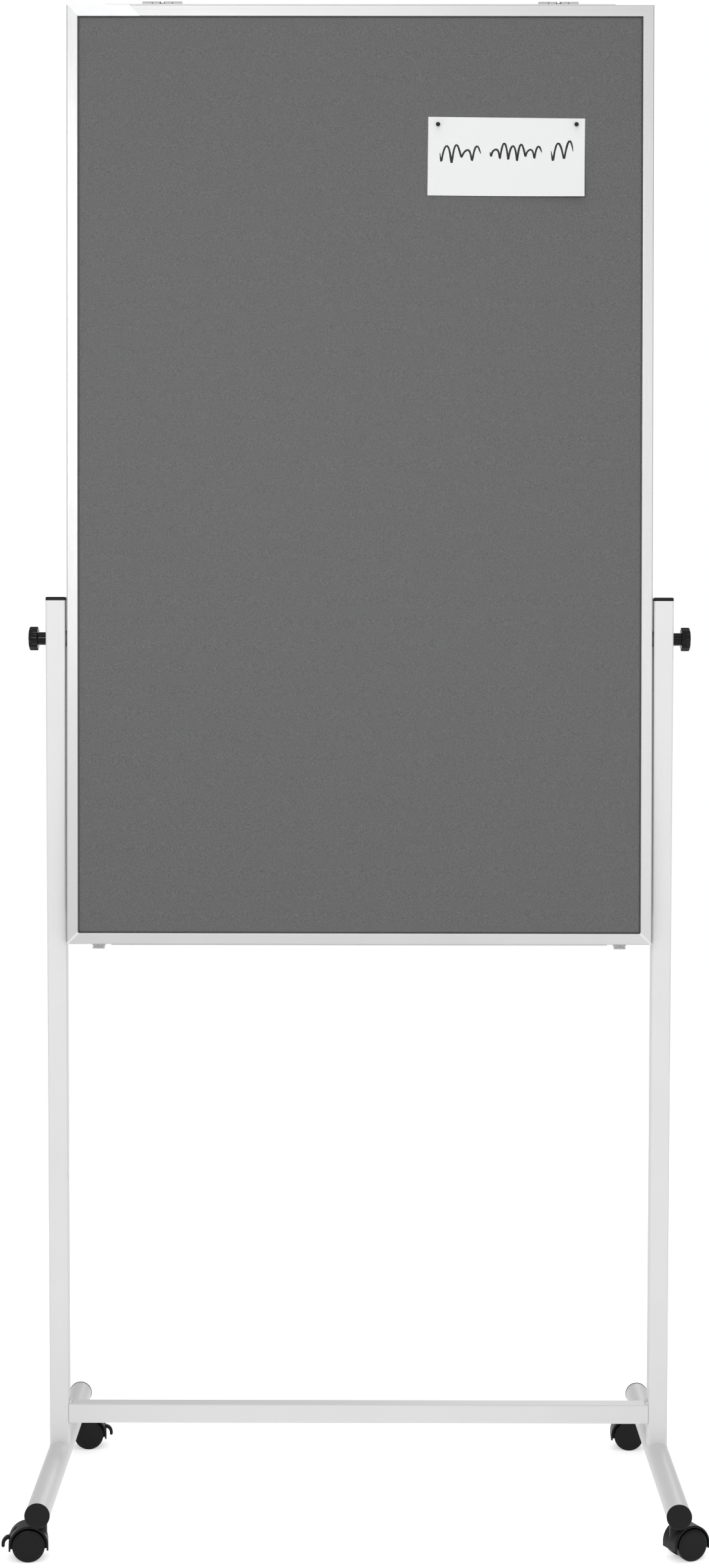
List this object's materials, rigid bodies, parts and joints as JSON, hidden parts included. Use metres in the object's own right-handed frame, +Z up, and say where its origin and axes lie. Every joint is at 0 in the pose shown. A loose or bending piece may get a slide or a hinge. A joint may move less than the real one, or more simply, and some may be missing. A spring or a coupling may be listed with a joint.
{
  "type": "rolling board",
  "caption": "Two-sided board, felt in front and whiteboard behind, that turns between two posts on a rolling stand with lockable casters, a paper clamp and a pen tray.",
  "frame": {"origin": "on the floor, midway between the two posts and midway between the front and rear ends of the feet", "axes": "+Z up, +X to the right seen from the felt side, the felt side faces -Y"},
  "size_m": [0.869, 0.552, 1.9387],
  "materials": {
    "powder_coat": "satin powder coat, light cool grey",
    "anodised_aluminium": "satin silver anodised",
    "black_plastic": "moulded black plastic",
    "caster_plastic": "moulded black nylon",
    "wheel_plastic": "smooth black nylon",
    "zinc_steel": "bright zinc plate",
    "slide_plastic": "dark grey nylon",
    "corner_plastic": "silver grey plastic",
    "trim_plastic": "silver grey plastic, blank",
    "grey_plastic": "light grey plastic",
    "bumper_plastic": "clear grey plastic",
    "honeycomb_core": "paper honeycomb core, hidden",
    "grey_felt": "mottled grey needle felt",
    "whiteboard_enamel": "glossy white enamel",
    "white_card": "smooth white card",
    "pin_black": "dark ball-headed pin"
  },
  "bodies": {
    "stand": {"left_post": "powder_coat", "right_post": "powder_coat", "crossbar": "powder_coat", "weld_beads": "powder_coat", "left_foot_tube": "powder_coat", "right_foot_tube": "powder_coat", "left_post_cap": "black_plastic", "right_post_cap": "black_plastic", "foot_end_caps": "black_plastic", "caster_nuts": "zinc_steel", "caster_stems": "zinc_steel"},
    "pivots": {"left_slide_block": "slide_plastic", "right_slide_block": "slide_plastic", "left_stud": "zinc_steel", "right_stud": "zinc_steel", "spacer_washers": "slide_plastic"},
    "board": {"frame_left": "anodised_aluminium", "frame_right": "anodised_aluminium", "frame_top": "anodised_aluminium", "frame_bottom": "anodised_aluminium", "corner_trim": "trim_plastic", "corner_keys": "corner_plastic", "core_panel": "honeycomb_core", "felt_cover": "grey_felt", "whiteboard_sheet": "whiteboard_enamel", "note_card": "white_card", "push_pins": "pin_black", "pen_tray": "anodised_aluminium", "tray_end_caps": "grey_plastic", "tray_screws": "zinc_steel", "tray_nuts": "zinc_steel", "bumper_feet": "bumper_plastic", "clamp_rail": "anodised_aluminium", "clamp_brackets": "grey_plastic", "clamp_pin": "zinc_steel"},
    "clamp_bar": {"clamp_bar": "anodised_aluminium"},
    "left_hook": {"left_hook": "grey_plastic"},
    "right_hook": {"right_hook": "grey_plastic"},
    "left_knob": {"left_knob": "black_plastic"},
    "right_knob": {"right_knob": "black_plastic"},
    "front_left_caster": {"front_left_hood": "caster_plastic", "front_left_axle": "zinc_steel"},
    "front_left_wheel_near": {"front_left_wheel_near": "wheel_plastic"},
    "front_left_wheel_far": {"front_left_wheel_far": "wheel_plastic"},
    "front_left_brake_lever": {"front_left_brake_lever": "caster_plastic"},
    "front_right_caster": {"front_right_hood": "caster_plastic", "front_right_axle": "zinc_steel"},
    "front_right_wheel_near": {"front_right_wheel_near": "wheel_plastic"},
    "front_right_wheel_far": {"front_right_wheel_far": "wheel_plastic"},
    "rear_left_caster": {"rear_left_hood": "caster_plastic", "rear_left_axle": "zinc_steel"},
    "rear_left_wheel_near": {"rear_left_wheel_near": "wheel_plastic"},
    "rear_left_wheel_far": {"rear_left_wheel_far": "wheel_plastic"},
    "rear_left_brake_lever": {"rear_left_brake_lever": "caster_plastic"},
    "rear_right_caster": {"rear_right_hood": "caster_plastic", "rear_right_axle": "zinc_steel"},
    "rear_right_wheel_near": {"rear_right_wheel_near": "wheel_plastic"},
    "rear_right_wheel_far": {"rear_right_wheel_far": "wheel_plastic"}
  },
  "joints": [
    {"name": "board_turn", "type": "hinge", "parent": "stand", "child": "pivots", "pos_m": [0, 0, 1.1245], "axis": [1, 0, 0], "continuous": true},
    {"name": "board_height", "type": "slide", "parent": "pivots", "child": "board", "axis": [0, 0.0454, 0.999], "range_m": [-0.208, 0.09]},
    {"name": "clamp_open", "type": "hinge", "parent": "board", "child": "clamp_bar", "pos_m": [0, 0.05418, 1.92086], "axis": [1, 0, 0], "range_deg": [0, 40], "stiffness_Nm_per_rad": 0.4, "springref_deg": -28.65},
    {"name": "left_hook_slide", "type": "slide", "parent": "board", "child": "left_hook", "axis": [1, 0, 0], "range_m": [-0.04, 0.12]},
    {"name": "right_hook_slide", "type": "slide", "parent": "board", "child": "right_hook", "axis": [1, 0, 0], "range_m": [-0.12, 0.04]},
    {"name": "left_knob_turn", "type": "hinge", "parent": "pivots", "child": "left_knob", "pos_m": [-0.402, 0, 1.1245], "axis": [-1, 0, 0], "range_deg": [0, 720]},
    {"name": "right_knob_turn", "type": "hinge", "parent": "pivots", "child": "right_knob", "pos_m": [0.402, 0, 1.1245], "axis": [1, 0, 0], "range_deg": [0, 720]},
    {"name": "front_left_swivel", "type": "hinge", "parent": "stand", "child": "front_left_caster", "pos_m": [-0.3895, -0.235, 0.05], "axis": [0, 0, 1], "continuous": true},
    {"name": "front_left_wheel_near_roll", "type": "hinge", "parent": "front_left_caster", "child": "front_left_wheel_near", "pos_m": [-0.4044, -0.2367, 0.02], "axis": [0.1132, -0.9936, 0], "continuous": true},
    {"name": "front_left_wheel_far_roll", "type": "hinge", "parent": "front_left_caster", "child": "front_left_wheel_far", "pos_m": [-0.4044, -0.2367, 0.02], "axis": [0.1132, -0.9936, 0], "continuous": true},
    {"name": "front_left_brake", "type": "hinge", "parent": "front_left_caster", "child": "front_left_brake_lever", "pos_m": [-0.42229, -0.23874, 0.026], "axis": [0.1132, -0.9936, 0], "range_deg": [0, 12]},
    {"name": "front_right_swivel", "type": "hinge", "parent": "stand", "child": "front_right_caster", "pos_m": [0.3895, -0.235, 0.05], "axis": [0, 0, 1], "continuous": true},
    {"name": "front_right_wheel_near_roll", "type": "hinge", "parent": "front_right_caster", "child": "front_right_wheel_near", "pos_m": [0.4032, -0.2289, 0.02], "axis": [-0.4067, 0.9135, 0], "continuous": true},
    {"name": "front_right_wheel_far_roll", "type": "hinge", "parent": "front_right_caster", "child": "front_right_wheel_far", "pos_m": [0.4032, -0.2289, 0.02], "axis": [-0.4067, 0.9135, 0], "continuous": true},
    {"name": "rear_left_swivel", "type": "hinge", "parent": "stand", "child": "rear_left_caster", "pos_m": [-0.3895, 0.235, 0.05], "axis": [0, 0, 1], "continuous": true},
    {"name": "rear_left_wheel_near_roll", "type": "hinge", "parent": "rear_left_caster", "child": "rear_left_wheel_near", "pos_m": [-0.37456, 0.23631, 0.02], "axis": [-0.0872, 0.9962, 0], "continuous": true},
    {"name": "rear_left_wheel_far_roll", "type": "hinge", "parent": "rear_left_caster", "child": "rear_left_wheel_far", "pos_m": [-0.37456, 0.23631, 0.02], "axis": [-0.0872, 0.9962, 0], "continuous": true},
    {"name": "rear_left_brake", "type": "hinge", "parent": "rear_left_caster", "child": "rear_left_brake_lever", "pos_m": [-0.35663, 0.23788, 0.026], "axis": [-0.0872, 0.9962, 0], "range_deg": [0, 12]},
    {"name": "rear_right_swivel", "type": "hinge", "parent": "stand", "child": "rear_right_caster", "pos_m": [0.3895, 0.235, 0.05], "axis": [0, 0, 1], "continuous": true},
    {"name": "rear_right_wheel_near_roll", "type": "hinge", "parent": "rear_right_caster", "child": "rear_right_wheel_near", "pos_m": [0.37451, 0.23552, 0.02], "axis": [-0.0349, -0.9994, 0], "continuous": true},
    {"name": "rear_right_wheel_far_roll", "type": "hinge", "parent": "rear_right_caster", "child": "rear_right_wheel_far", "pos_m": [0.37451, 0.23552, 0.02], "axis": [-0.0349, -0.9994, 0], "continuous": true}
  ]
}
